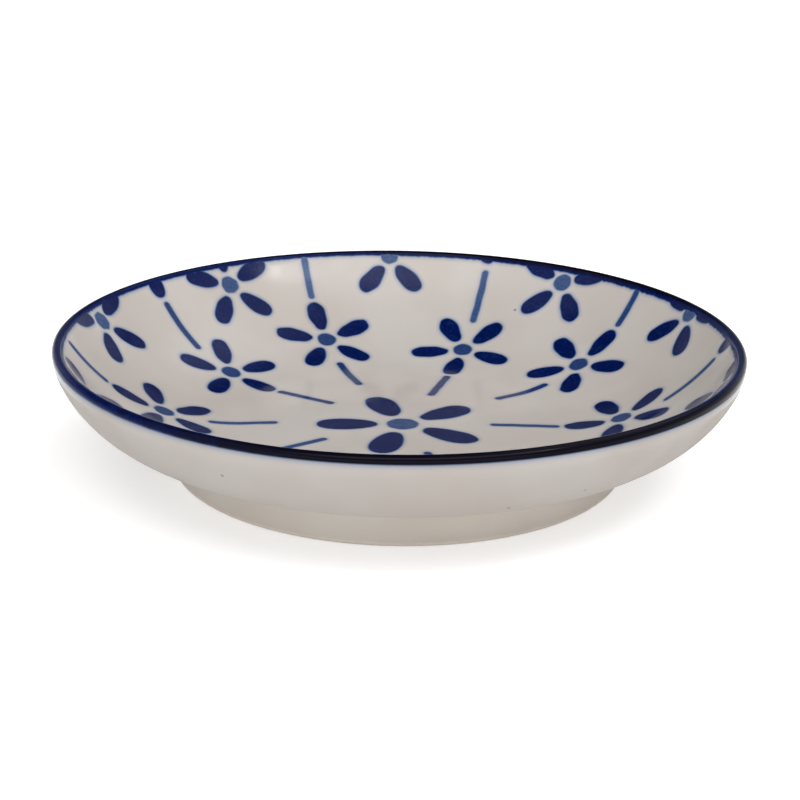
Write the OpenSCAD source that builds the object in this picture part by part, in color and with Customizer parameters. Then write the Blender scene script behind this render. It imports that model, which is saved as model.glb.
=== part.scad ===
// Soy sauce dish: a shallow porcelain bowl on a foot ring, with a blue rim and blue flowers printed inside.
// +Z is up. The origin is on the bowl's axis, on the surface that the foot rests on.

/* [Bowl] */
// Outside diameter at the lip
bowl_d = 95; // [88:0.5:104]
// Height from the resting face to the top of the lip
bowl_h = 18.3; // [16.5:0.1:21]
// Thickness of the lip
lip_t = 1.42; // [1.1:0.02:2]
// Height of the inside floor above the resting face
floor_z = 5; // [4.2:0.1:6]
// Radius of the flat inside floor
floor_r = 22; // [18:0.5:25]
// Thickness of the floor inside the foot
floor_t = 2.5; // [2:0.1:3.2]

/* [Outer wall] */
// Thickness of the wall above the outer edge of the foot
wall_t = 1.6; // [1.2:0.1:2.2]
// Slope of the underside outside the foot, in degrees
under_slope = 16.3; // [10:0.1:20]
// How far inside the rim the underside turns up into the belly
belly_inset = 8.7; // [7.5:0.1:10]
// Radius of the bend of the belly
belly_bend_r = 7.6; // [6:0.1:9]
// Radius of the side above the belly
side_r = 15.4; // [13:0.1:20]
// Radius of the turn under the lip
lip_turn_r = 6; // [4:0.1:7.5]

/* [Foot ring] */
// Outside diameter of the foot where it rests
foot_d = 63.2; // [58:0.2:66]
// Width of the foot where it rests
foot_w = 2.6; // [2:0.1:3.6]
// How much the outside of the foot spreads from its base to the bowl
foot_flare = 0.6; // [0.2:0.1:1.2]
// How much the inside of the foot closes in from its base to the floor
foot_draft = 0.8; // [0.3:0.1:1.4]
// Rounding of the lower edges of the foot
foot_edge_r = 0.5; // [0.2:0.1:0.8]

/* [Blue print] */
// Thickness of the print
print_t = 0.12; // [0.08:0.02:0.24]
// How far the print sits off the axis of the bowl, towards +X
print_off = 0.6; // [0:0.1:1]
// How far the rim band reaches below the top of the lip
band_h = 1; // [0.8:0.1:1.6]

/* [Middle flower] */
// Length of a petal of the middle flower
middle_petal_l = 8.6; // [6:0.1:9]
// Width of a petal of the middle flower
middle_petal_w = 4.5; // [3:0.1:5]
// Distance from the middle of the flower to its petals
middle_petal_gap = 3.55; // [3:0.05:3.8]
// Diameter of the eye of the middle flower
middle_eye_d = 4.6; // [3.6:0.1:5.2]

/* [Small flowers] */
// Length of a petal of a small flower
petal_l = 5.8; // [4.6:0.1:6.2]
// Width of a petal of a small flower
petal_w = 3; // [2.2:0.1:3.2]
// Distance from the middle of a small flower to its petals
petal_gap = 2.3; // [2.1:0.05:2.6]
// Diameter of the eye of a small flower
eye_d = 2.95; // [2.2:0.05:3.4]
// Distance from the middle of the print to the near flowers
near_s = 31.6; // [30.5:0.1:33]
// Distance from the middle of the print to the far flowers
far_s = 34.2; // [33.4:0.1:36]
// How far the low flowers sit inside the edge of the print
low_drop = 1.8; // [1.2:0.1:2.6]
// How far the high flowers sit inside the edge of the print
high_drop = 0.5; // [0.2:0.1:1]

/* [Stems] */
// Length of the stems on the floor
stem_l = 9.5; // [6:0.1:10]
// Length of the stems that run from the far flowers to the edge of the print
rim_stem_l = 6.9; // [6.6:0.1:8]
// Width of a stem
stem_w = 1.1; // [0.8:0.05:1.4]
// Gap between the end of a stem and the tip of a petal
stem_gap = 0.6; // [0.4:0.05:1]
// Distance from the middle of a flower to a stem that ends between two petals
stem_notch = 6.3; // [5.6:0.1:7]
// Length of the petal tips that show below the rim band
tip_l = 1.75; // [1.3:0.05:2.2]

/* [Hidden] */
$fn = 192;

// Points on each bend of the outer wall, and round a stem's end and a petal
bend_steps = 12;
end_steps = 8;
petal_steps = 22;

// The print repeats this often round the bowl, and a flower has as many petals
repeats = 5;
repeat_turn = 360 / repeats;

// Turn of each ring of flowers round the bowl, in degrees
near_turn = 0.5;
high_turn = 20.8;
far_turn = 38;
low_turn = 55.5;

// How much fuller a petal is towards its outer end
petal_full_share = 0.35;

// The least of a petal that still shows below the rim band
least_show = 0.4;

// Half the depth of the cutters that shape the print out of its layer
print_reach = 1.2;

ink_dark = "#16205f";
ink_light = "#45609c";
glaze_white = "#dcd8d4";
foot_white = "#cfc7bf";
rim_ink = "#131a3c";

degrees_per_radian = 180 / PI;

rim_r = bowl_d / 2;
lip_r = lip_t / 2;
lip_c = [rim_r - lip_r, bowl_h - lip_r];

// The inside wall is one arc, level where it leaves the floor and tangent to the lip
inner_run = lip_c.x - floor_r;
inner_rise = lip_c.y - floor_z;
inner_r = (inner_run ^ 2 + inner_rise ^ 2 - lip_r ^ 2) / (2 * (inner_rise + lip_r));
inner_c = [floor_r, floor_z + inner_r];
lip_end = atan2(inner_c.y - lip_c.y, inner_c.x - lip_c.x);

// The rim band's lower edge, as a height and as a distance along the inside surface
band_z = bowl_h - band_h;
band_s = floor_r + inner_r * acos(1 - (band_z - floor_z) / inner_r) / degrees_per_radian;

// The foot ring and the seat that it shares with the bowl
recess_z = floor_z - floor_t;
foot_r = foot_d / 2;
foot_in_r = foot_r - foot_w;
foot_top_r = foot_r + foot_flare;
foot_in_top_r = foot_in_r - foot_draft;
foot_top_z = inside_z(foot_top_r) - wall_t;

// Middles of the bends of the outer wall, each tangent to the next
belly_start = [rim_r - belly_inset, foot_top_z + (rim_r - belly_inset - foot_top_r) * tan(under_slope)];
belly_c = belly_start + belly_bend_r * [-sin(under_slope), cos(under_slope)];
turn_c = [rim_r - lip_turn_r, lip_c.y];
side_c = meeting_point(turn_c, side_r - lip_turn_r, belly_c, side_r - belly_bend_r);
turn_end = atan2(turn_c.y - side_c.y, turn_c.x - side_c.x);
side_end = atan2(belly_c.y - side_c.y, belly_c.x - side_c.x);

// Radius of the flat print, and its scale on the bowl, where its edge lies on the rim band's lower edge
petal_reach = petal_gap + petal_l;
print_r = far_s + petal_reach + stem_gap + rim_stem_l;
print_scale = band_s / print_r;

low_s = print_r - low_drop;
high_s = print_r - high_drop;
tip_s = print_r - tip_l;

// Each ring of flowers: name, distance from the middle of the print, turn, and turn of its first petal
RINGS = [
    ["near", near_s, near_turn, near_turn + 180],
    ["far", far_s, far_turn, far_turn],
    ["low", low_s, low_turn, low_turn],
    ["high", high_s, high_turn, high_turn],
];

function flower_name(ring, k) = str(ring[0], "_flower_", k + 1);
function stem_name(ring, k) = str(ring[0], "_stems_", k + 1);

// Height of the inside surface at a radius
function inside_z(r) = r <= floor_r ? floor_z : inner_c.y - sqrt(inner_r ^ 2 - (r - floor_r) ^ 2);

// Slope, radius and height of the inside surface at a distance along it from the axis
function slope_at(s) = s <= floor_r ? 0 : (s - floor_r) / inner_r * degrees_per_radian;
function radius_at(s) = s <= floor_r ? s : floor_r + inner_r * sin(slope_at(s));
function height_at(s) = inner_c.y - inner_r * cos(slope_at(s));

// A point of the flat print, from its distance and turn, and where it comes to lie from the axis of the bowl
function print_point(s, turn) = s * [cos(turn), sin(turn)];
function on_bowl(p) = print_scale * p + [print_off, 0];

// The point at two given distances from two middles, on the axis side of the line between them
function meeting_point(a, to_a, b, to_b) =
    let (
        apart = norm(b - a),
        way = (b - a) / apart,
        along = (to_a ^ 2 - to_b ^ 2 + apart ^ 2) / (2 * apart),
        aside = sqrt(to_a ^ 2 - along ^ 2)
    )
    a + along * way + aside * [way.y, -way.x];

function arc_points(middle, r, from, to, steps) = [
    for (i = [0 : steps])
        let (a = from + (to - from) * i / steps)
        middle + r * [cos(a), sin(a)]
];

// Outline of the bowl before it is hollowed, from under the floor to the inside of the lip, grown outwards
function blank_points(grow) = concat(
    [[0, recess_z], [foot_in_top_r, recess_z], [foot_top_r, foot_top_z]],
    arc_points(belly_c, belly_bend_r + grow, under_slope - 90, side_end, bend_steps),
    arc_points(side_c, side_r + grow, side_end, turn_end, bend_steps),
    arc_points(turn_c, lip_turn_r + grow, turn_end, 0, bend_steps),
    arc_points(lip_c, lip_r + grow, 0, lip_end, bend_steps),
    [[0, lip_c.y + (lip_r + grow) * sin(lip_end)]]
);

// The hollow of the bowl, drawn in from the inside surface
module hollow_outline(inset) {
    intersection() {
        translate(inner_c) circle(inner_r - inset);
        translate([floor_r, 0]) square([inner_r, inner_c.y]);
    }
    translate([0, floor_z + inset]) square([floor_r, inner_r - inset]);
}

module wall_outline(grow) {
    difference() {
        polygon(blank_points(grow));
        hollow_outline(grow);
    }
}

module bowl() {
    color(glaze_white) rotate_extrude() wall_outline(0);
}

module foot_ring() {
    outer_lean = atan(foot_flare / foot_top_z);
    inner_lean = atan(foot_draft / recess_z);
    outer_edge = [foot_r + foot_edge_r * (tan(outer_lean) - 1 / cos(outer_lean)), foot_edge_r];
    inner_edge = [foot_in_r - foot_edge_r * (tan(inner_lean) - 1 / cos(inner_lean)), foot_edge_r];
    color(foot_white) rotate_extrude() polygon(concat(
        arc_points(outer_edge, foot_edge_r, -90, -outer_lean, end_steps),
        [[foot_top_r, foot_top_z], [foot_in_top_r, recess_z]],
        arc_points(inner_edge, foot_edge_r, 180 + inner_lean, 270, end_steps)
    ));
}

// Cap of blue over the lip, down to the same height inside and outside
module rim_band() {
    color(rim_ink) rotate_extrude() intersection() {
        difference() {
            wall_outline(print_t);
            wall_outline(0);
        }
        translate([0, band_z]) square([bowl_d, bowl_h]);
    }
}

// The layer on the inside surface that the print is cut from, up to the rim band
module print_layer() {
    rotate_extrude() intersection() {
        difference() {
            hollow_outline(0);
            hollow_outline(print_t);
        }
        square([bowl_d, band_z]);
    }
}

// Sets a flat shape down on the inside surface at a point of the print
module on_surface(p) {
    place = on_bowl(p);
    s = norm(place);
    turn = atan2(place.y, place.x);
    rotate([0, 0, turn])
        translate([radius_at(s), 0, height_at(s)])
            rotate([0, -slope_at(s), 0])
                rotate([0, 0, -turn])
                    scale(print_scale)
                        linear_extrude(height = 2 * print_reach, center = true)
                            children();
}

module printed(ink) {
    color(ink) intersection() {
        print_layer();
        union() children();
    }
}

module petal_outline(l, w) {
    full = petal_full_share;
    peak = acos((1 - sqrt(1 + 8 * full ^ 2)) / (4 * full));
    peak_share = sin(peak) * (1 - full * cos(peak));
    polygon([for (i = [0 : petal_steps - 1])
        let (t = 360 * i / petal_steps)
        [-l / 2 * cos(t), w / 2 * sin(t) * (1 - full * cos(t)) / peak_share]]);
}

// One petal at a distance from the middle of its flower, where enough of it shows below the rim band
module petal(flower, gap, turn, l, w) {
    p = flower + print_point(gap + l / 2, turn);
    place = on_bowl(p);
    lean = turn - atan2(place.y, place.x);
    low_edge = norm(place) - print_scale * norm([l / 2 * cos(lean), w / 2 * sin(lean)]);
    if (low_edge < band_s - print_scale * least_show)
        on_surface(p) rotate(turn) petal_outline(l, w);
}

module petals(flower, first_turn, gap, l, w) {
    printed(ink_dark)
        for (j = [0 : repeats - 1])
            petal(flower, gap, first_turn + j * repeat_turn, l, w);
}

module eye(flower, d) {
    printed(ink_light) on_surface(flower) circle(d = d);
}

module stem(from, to) {
    run = to - from;
    half = norm(run) / 2 - stem_w / 2;
    on_surface((from + to) / 2) rotate(atan2(run.y, run.x)) polygon(concat(
        arc_points([half, 0], stem_w / 2, -90, 90, end_steps),
        arc_points([-half, 0], stem_w / 2, 90, 270, end_steps)
    ));
}

// A near flower's stems: one meets its inner petal, one runs from between two petals to a tip at the rim
module near_stems(turn) {
    inner_end = near_s - petal_reach - stem_gap;
    printed(ink_light) {
        stem(print_point(inner_end - stem_l, turn), print_point(inner_end, turn));
        stem(print_point(near_s + stem_notch, turn), print_point(tip_s - stem_gap, turn));
    }
}

// A far flower's stems: one ends between two petals, the other runs from its outer petal under the rim band
module far_stems(turn) {
    inner_end = far_s - stem_notch;
    printed(ink_light) {
        stem(print_point(inner_end - stem_l, turn), print_point(inner_end, turn));
        stem(print_point(print_r - rim_stem_l, turn), print_point(print_r + stem_w, turn));
    }
}

module middle_flower_petals() {
    petals(print_point(0, 0), near_turn + 180, middle_petal_gap, middle_petal_l, middle_petal_w);
}

module middle_flower_eye() {
    eye(print_point(0, 0), middle_eye_d);
}

module ring_petals(ring, k) {
    turn = k * repeat_turn;
    petals(print_point(ring[1], ring[2] + turn), ring[3] + turn, petal_gap, petal_l, petal_w);
}

module ring_eye(ring, k) {
    eye(print_point(ring[1], ring[2] + k * repeat_turn), eye_d);
}

// Outer ends of petals that point inwards from the next flowers, which the rim band cuts off
module rim_petal_tips() {
    printed(ink_dark)
        for (k = [0 : repeats - 1])
            let (turn = near_turn + k * repeat_turn)
                petal(print_point(tip_s + petal_l, turn), 0, turn + 180, petal_l, petal_w);
}

bowl();
foot_ring();
rim_band();
middle_flower_petals();
middle_flower_eye();
rim_petal_tips();
for (ring = RINGS, k = [0 : repeats - 1]) {
    ring_petals(ring, k);
    ring_eye(ring, k);
}
for (k = [0 : repeats - 1]) {
    near_stems(near_turn + k * repeat_turn);
    far_stems(far_turn + k * repeat_turn);
}
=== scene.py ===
"""Soy sauce dish: a porcelain bowl on a foot ring, with a blue rim and a blue flower print."""

import math

import bpy
import numpy as np
from mathutils import Matrix, Vector


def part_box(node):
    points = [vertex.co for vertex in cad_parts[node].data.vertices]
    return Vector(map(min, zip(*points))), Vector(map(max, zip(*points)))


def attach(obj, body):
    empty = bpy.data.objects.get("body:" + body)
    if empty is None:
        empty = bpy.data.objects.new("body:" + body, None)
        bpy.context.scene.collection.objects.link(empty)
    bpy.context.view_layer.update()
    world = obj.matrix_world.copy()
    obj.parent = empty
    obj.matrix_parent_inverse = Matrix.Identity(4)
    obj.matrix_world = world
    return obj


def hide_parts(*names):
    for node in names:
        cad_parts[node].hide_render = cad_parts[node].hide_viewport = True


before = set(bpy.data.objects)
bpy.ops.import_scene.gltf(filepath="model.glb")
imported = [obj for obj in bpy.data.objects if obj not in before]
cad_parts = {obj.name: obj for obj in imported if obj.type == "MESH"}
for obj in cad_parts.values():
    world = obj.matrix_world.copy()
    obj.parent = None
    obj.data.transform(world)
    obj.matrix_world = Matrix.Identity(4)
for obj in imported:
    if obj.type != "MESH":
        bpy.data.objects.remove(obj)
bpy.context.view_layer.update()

MM = 0.001
SEED = 7


# Sizes of the bowl and the foot, in metres: what the frame gives comes from the frame

FRAME_DIGITS = 4


def frame_size(value):
    """A size read from the frame's mesh, to a tenth of a millimetre."""
    return round(value, FRAME_DIGITS)


bowl_low, bowl_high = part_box("bowl")
_, foot_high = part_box("foot_ring")
band_low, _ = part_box("rim_band")

RIM_R = frame_size(bowl_high.x)
BOWL_H = frame_size(bowl_high.z)
RECESS_Z = frame_size(bowl_low.z)
FOOT_TOP_R = frame_size(foot_high.x)
BAND_Z = frame_size(band_low.z)

LIP_R = 0.71 * MM
FLOOR_R = 22 * MM
FLOOR_T = 2.5 * MM
FLOOR_Z = RECESS_Z + FLOOR_T
WALL_T = 1.6 * MM
UNDER_SLOPE = math.radians(16.3)
BELLY_INSET = 8.7 * MM
BELLY_BEND_R = 7.6 * MM
SIDE_R = 15.4 * MM
LIP_TURN_R = 6 * MM

FOOT_FLARE = 0.6 * MM
FOOT_W = 2.6 * MM
FOOT_DRAFT = 0.8 * MM
FOOT_EDGE_R = 0.5 * MM
GLAZE_FILLET = 0.8 * MM
BARE_FOOT_H = 0.55 * MM

FOOT_R = FOOT_TOP_R - FOOT_FLARE
FOOT_IN_R = FOOT_R - FOOT_W
FOOT_IN_TOP_R = FOOT_IN_R - FOOT_DRAFT

# The inside wall is one arc, level where it leaves the floor and tangent to the lip
LIP_C = np.array([RIM_R - LIP_R, BOWL_H - LIP_R])
INNER_RUN = LIP_C[0] - FLOOR_R
INNER_RISE = LIP_C[1] - FLOOR_Z
INNER_R = (INNER_RUN ** 2 + INNER_RISE ** 2 - LIP_R ** 2) / (2 * (INNER_RISE + LIP_R))
INNER_C = np.array([FLOOR_R, FLOOR_Z + INNER_R])
LIP_END = math.atan2(INNER_C[1] - LIP_C[1], INNER_C[0] - LIP_C[0])
INNER_SWEEP = LIP_END - math.pi / 2
LIP_S = FLOOR_R + INNER_R * INNER_SWEEP
LIP_IN = LIP_R * INNER_SWEEP
LIP_OUT = LIP_R * math.pi / 2
BAND_S = FLOOR_R + INNER_R * math.acos(1 - (BAND_Z - FLOOR_Z) / INNER_R)
FOOT_TOP_Z = INNER_C[1] - math.sqrt(INNER_R ** 2 - (FOOT_TOP_R - FLOOR_R) ** 2) - WALL_T


def meeting_point(a, to_a, b, to_b):
    """The point at two given distances from two middles, on the axis side of the line between them."""
    apart = np.linalg.norm(b - a)
    way = (b - a) / apart
    along = (to_a ** 2 - to_b ** 2 + apart ** 2) / (2 * apart)
    aside = math.sqrt(to_a ** 2 - along ** 2)
    return a + along * way + aside * np.array([way[1], -way[0]])


# The outer wall: a straight stretch above the foot, the bend of the belly, the side and the turn to the lip
BELLY_R = RIM_R - BELLY_INSET
BELLY_Z = FOOT_TOP_Z + (BELLY_R - FOOT_TOP_R) * math.tan(UNDER_SLOPE)
UNDER_NORMAL = np.array([-math.sin(UNDER_SLOPE), math.cos(UNDER_SLOPE)])
BELLY_C = np.array([BELLY_R, BELLY_Z]) + BELLY_BEND_R * UNDER_NORMAL
TURN_C = np.array([RIM_R - LIP_TURN_R, LIP_C[1]])
SIDE_C = meeting_point(TURN_C, SIDE_R - LIP_TURN_R, BELLY_C, SIDE_R - BELLY_BEND_R)
TURN_END = math.atan2(*(TURN_C - SIDE_C)[::-1])
SIDE_END = math.atan2(*(BELLY_C - SIDE_C)[::-1])

# Steps of the lathed meshes
TURN_STEPS = 320
FLOOR_STEPS = 12
INNER_STEPS = 60
LIP_STEPS = 24
TURN_ARC_STEPS = 12
SIDE_STEPS = 24
BELLY_STEPS = 8
UNDER_STEPS = 8
EDGE_STEPS = 8


# Meshes

def arc(middle, r, start, end, steps):
    """Points of an arc in the plane of a profile, from one angle to another."""
    a = np.linspace(start, end, steps + 1)
    return np.stack([middle[0] + r * np.cos(a), middle[1] + r * np.sin(a)], -1)


def line(start, end, steps):
    """Points of a straight stretch of a profile."""
    t = np.linspace(0, 1, steps + 1)[:, None]
    return np.asarray(start) * (1 - t) + np.asarray(end) * t


def joined(*stretches):
    """One profile from stretches that end where the next begins."""
    return np.concatenate([stretches[0]] + [s[1:] for s in stretches[1:]])


def new_piece(name, points, faces, material, nodes, smooth=None):
    """Makes a mesh object, gives it its material, hangs it on the root body and hides the parts of the
    frame that it stands for.
    """
    mesh = bpy.data.meshes.new(name)
    mesh.from_pydata([tuple(p) for p in points], [], faces)
    mesh.polygons.foreach_set("use_smooth", [True] * len(faces) if smooth is None else smooth)
    mesh.materials.append(material)
    mesh.update()
    piece = bpy.data.objects.new(name, mesh)
    bpy.context.scene.collection.objects.link(piece)
    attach(piece, "root")
    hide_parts(*nodes)
    return piece


def set_values(piece, name, values):
    """Stores one number per point of a piece's mesh, for its material."""
    attribute = piece.data.attributes.new(name, "FLOAT", "POINT")
    attribute.data.foreach_set("value", np.asarray(values, np.float32))


def lathe(profile, closed):
    """Points and faces of a profile turned about the axis. An open profile starts and ends on the axis."""
    turn = np.linspace(0, 2 * math.pi, TURN_STEPS, endpoint=False)
    ring = profile if closed else profile[1:-1]
    points = [(r * c, r * s, z) for r, z in ring for c, s in zip(np.cos(turn), np.sin(turn))]
    count = len(ring)
    faces = []
    for i in range(count if closed else count - 1):
        low, high = i * TURN_STEPS, (i + 1) % count * TURN_STEPS
        for j in range(TURN_STEPS):
            k = (j + 1) % TURN_STEPS
            faces.append((low + j, low + k, high + k, high + j))
    if not closed:
        first, last = len(points), len(points) + 1
        points += [(0, 0, profile[0][1]), (0, 0, profile[-1][1])]
        top = (count - 1) * TURN_STEPS
        for j in range(TURN_STEPS):
            k = (j + 1) % TURN_STEPS
            faces.append((first, k, j))
            faces.append((last, top + j, top + k))
        faces = [face[::-1] for face in faces]
    return points, faces


def bowl_profile():
    """The bowl from the middle of its floor over the lip to the middle of the recess under it."""
    return joined(
        line((0, FLOOR_Z), (FLOOR_R, FLOOR_Z), FLOOR_STEPS),
        arc(INNER_C, INNER_R, -math.pi / 2, INNER_SWEEP - math.pi / 2, INNER_STEPS),
        arc(LIP_C, LIP_R, LIP_END, 0, LIP_STEPS),
        arc(TURN_C, LIP_TURN_R, 0, TURN_END, TURN_ARC_STEPS),
        arc(SIDE_C, SIDE_R, TURN_END, SIDE_END, SIDE_STEPS),
        arc(BELLY_C, BELLY_BEND_R, SIDE_END, UNDER_SLOPE - math.pi / 2, BELLY_STEPS),
        line((BELLY_R, BELLY_Z), (FOOT_TOP_R, FOOT_TOP_Z), UNDER_STEPS),
        line((FOOT_TOP_R, FOOT_TOP_Z), (FOOT_IN_TOP_R, RECESS_Z), EDGE_STEPS),
        line((FOOT_IN_TOP_R, RECESS_Z), (0, RECESS_Z), FLOOR_STEPS),
    )


def fillet(corner, way_a, way_b, r):
    """Arc that rounds an inside corner between two straight stretches, from the first to the second."""
    way_a, way_b = (np.asarray(w) / np.linalg.norm(w) for w in (way_a, way_b))
    half = math.acos(way_a @ way_b) / 2
    bisector = (way_a + way_b) / np.linalg.norm(way_a + way_b)
    middle = np.asarray(corner) + bisector * r / math.sin(half)
    ends = [np.asarray(corner) + w * r / math.tan(half) - middle for w in (way_a, way_b)]
    start, end = (math.atan2(e[1], e[0]) for e in ends)
    turn = (end - start + math.pi) % (2 * math.pi) - math.pi
    return arc(middle, r, start, start + turn, EDGE_STEPS)


def foot_profile():
    """The foot ring, with the glaze that gathers where it meets the bowl."""
    outer_lean = math.atan(FOOT_FLARE / FOOT_TOP_Z)
    inner_lean = math.atan(FOOT_DRAFT / RECESS_Z)
    outer_edge = (FOOT_R + FOOT_EDGE_R * (math.tan(outer_lean) - 1 / math.cos(outer_lean)), FOOT_EDGE_R)
    inner_edge = (FOOT_IN_R - FOOT_EDGE_R * (math.tan(inner_lean) - 1 / math.cos(inner_lean)), FOOT_EDGE_R)
    outer_corner = (FOOT_TOP_R, FOOT_TOP_Z)
    inner_corner = (FOOT_IN_TOP_R, RECESS_Z)
    outer_fillet = fillet(
        outer_corner,
        (-math.sin(outer_lean), -math.cos(outer_lean)),
        (math.cos(UNDER_SLOPE), math.sin(UNDER_SLOPE)),
        GLAZE_FILLET,
    )
    inner_fillet = fillet(
        inner_corner,
        (-1, 0),
        (math.sin(inner_lean), -math.cos(inner_lean)),
        GLAZE_FILLET,
    )
    outer_foot = arc(outer_edge, FOOT_EDGE_R, -math.pi / 2, -outer_lean, EDGE_STEPS)
    inner_foot = arc(inner_edge, FOOT_EDGE_R, math.pi + inner_lean, 3 * math.pi / 2, EDGE_STEPS)
    return np.concatenate([
        outer_foot,
        line(outer_foot[-1], outer_fillet[0], EDGE_STEPS)[1:-1],
        outer_fillet,
        [outer_corner, inner_corner],
        inner_fillet,
        line(inner_fillet[-1], inner_foot[0], EDGE_STEPS)[1:-1],
        inner_foot,
    ])


# The lip dips a little at the front left, where the dish sagged in the kiln
SAG = 0.27 * MM
SAG_TURN = math.radians(253)
SAG_SPREAD = 1.5
SAG_START_R = 30 * MM


def settled(points):
    """Lowers the points of the wall and lip at the sag."""
    points = np.array(points, float)
    out = np.clip((np.hypot(points[:, 0], points[:, 1]) - SAG_START_R) / (RIM_R - SAG_START_R), 0, 1)
    away = (np.arctan2(points[:, 1], points[:, 0]) - SAG_TURN + math.pi) % (2 * math.pi) - math.pi
    near = np.cos(np.clip(SAG_SPREAD * away, -math.pi / 2, math.pi / 2))
    points[:, 2] -= SAG * (out * near) ** 2
    return points


# The inside surface, by distance along it from the axis

# Least distance from the axis at which a point has a direction
LEAST_R = 1e-9


def surface_at(s):
    """Slope, radius and height of the inside surface."""
    slope = np.maximum(s - FLOOR_R, 0) / INNER_R
    radius = np.minimum(s, FLOOR_R) + INNER_R * np.sin(slope)
    return slope, radius, FLOOR_Z + INNER_R * (1 - np.cos(slope))


def onto_surface(points, height):
    """Moves points to the nearest place on the inside surface, and up from there by a height."""
    radius = np.hypot(points[:, 0], points[:, 1])
    out = points[:, :2] / np.maximum(radius, LEAST_R)[:, None]
    slope = np.where(radius > FLOOR_R, np.arctan2(radius - FLOOR_R, INNER_C[1] - points[:, 2]), 0)
    on_r = np.minimum(radius, FLOOR_R) + (INNER_R - height) * np.sin(slope)
    on_z = INNER_C[1] - (INNER_R - height) * np.cos(slope)
    past_wall = slope > INNER_SWEEP
    on_lip = LIP_END - (slope - INNER_SWEEP) * INNER_R / LIP_R
    on_r = np.where(past_wall, LIP_C[0] + (LIP_R + height) * np.cos(on_lip), on_r)
    on_z = np.where(past_wall, LIP_C[1] + (LIP_R + height) * np.sin(on_lip), on_z)
    return np.column_stack([out * on_r[:, None], on_z])


def laid(place, shape, height):
    """Lays a flat shape on the inside surface, with its own middle at a place of the print."""
    s = np.linalg.norm(place)
    turn = math.atan2(place[1], place[0])
    slope, radius, z = surface_at(s)
    c, d = math.cos(turn), math.sin(turn)
    up = np.array([math.cos(slope) * c, math.cos(slope) * d, math.sin(slope)])
    aside = np.array([-d, c, 0])
    along = shape @ np.array([c, d])
    across = shape @ np.array([-d, c])
    flat = np.array([radius * c, radius * d, z]) + np.outer(along, up) + np.outer(across, aside)
    return onto_surface(flat, height)


# The rim band, by distance across the lip: zero at its top, below zero inside and above zero outside

BAND_H = 0.035 * MM
BAND_RISE = 0.12 * MM
BAND_SUNK = 0.03 * MM
BAND_TURN_STEPS = 900
BAND_CORE_STEPS = 26

# How far the band reaches inside and outside, and how much farther it does at some turns
BAND_IN = 0.97 * MM
BAND_IN_RIGHT = 0.45 * MM
BAND_RIGHT_TURN = math.radians(25)
BAND_IN_LEFT = 0.08 * MM
BAND_IN_LEFT_TURN = math.radians(135)
BAND_OUT = 1.33 * MM
BAND_OUT_RIGHT = 0.15 * MM
BAND_OUT_FADE = 1.35

# Waves of the band's edges: their height, how many go round, and how much weaker short ones are
BAND_RAGGED = 0.0225 * MM
BAND_LONG_WAVES = range(3, 24, 2)
BAND_LONG_FALLOFF = 0.5
BAND_SHORT_WAVES = range(60, 330, 9)
BAND_SHORT_FALLOFF = 0.35
BAND_SHORT_SHARE = 0.25
BAND_OUT_WAVES = range(2, 16, 3)

# Where the black of the band starts and is full, as shares of its reach outside, how the start shifts
# at the back and at the right end, and how much of the black is missing on the left
BAND_DARK_FROM = -0.55
BAND_DARK_TO = 0.15
BAND_DARK_BACK = -0.42
BAND_BACK_TURN = math.radians(55)
BAND_DARK_END = 0.4
BAND_END_TURN = math.radians(-20)
BAND_LEFT_THIN = 0.72
BAND_LEFT_TURN = math.radians(207)

# How closely a change of the band keeps to its turn
BROAD = 2
NARROW = 4
NARROWEST = 6


# The print: sizes as drawn flat, before it is sized to the bowl

REPEATS = 5
REPEAT_TURN = 2 * math.pi / REPEATS
PRINT_OFF = 0.6 * MM

MIDDLE_PETAL_L = 8.6 * MM
MIDDLE_PETAL_W = 4.5 * MM
MIDDLE_PETAL_GAP = 3.55 * MM
MIDDLE_EYE_D = 4.6 * MM
PETAL_L = 5.8 * MM
PETAL_W = 3 * MM
PETAL_GAP = 2.3 * MM
EYE_D = 3.05 * MM
NEAR_S = 31.6 * MM
FAR_S = 34.2 * MM
LOW_DROP = 1.8 * MM
HIGH_DROP = 0.5 * MM
STEM_L = 9.5 * MM
RIM_STEM_L = 6.9 * MM
STEM_W = 1.1 * MM
STEM_GAP = 0.6 * MM
STEM_NOTCH = 6.3 * MM
TIP_L = 1.75 * MM
PETAL_FULL_SHARE = 0.16
PETAL_BLUNT = 0.88

PETAL_REACH = PETAL_GAP + PETAL_L
PRINT_R = FAR_S + PETAL_REACH + STEM_GAP + RIM_STEM_L
PRINT_SCALE = BAND_S / PRINT_R
TIP_S = PRINT_R - TIP_L

NEAR_TURN = math.radians(0.5)
HIGH_TURN = math.radians(20.8)
FAR_TURN = math.radians(38)
LOW_TURN = math.radians(55.5)

# Each ring of flowers: distance from the middle of the print, turn, and turn of its first petal
RINGS = {
    "near": (NEAR_S, NEAR_TURN, NEAR_TURN + math.pi),
    "far": (FAR_S, FAR_TURN, FAR_TURN),
    "low": (PRINT_R - LOW_DROP, LOW_TURN, LOW_TURN),
    "high": (PRINT_R - HIGH_DROP, HIGH_TURN, HIGH_TURN),
}

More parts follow.
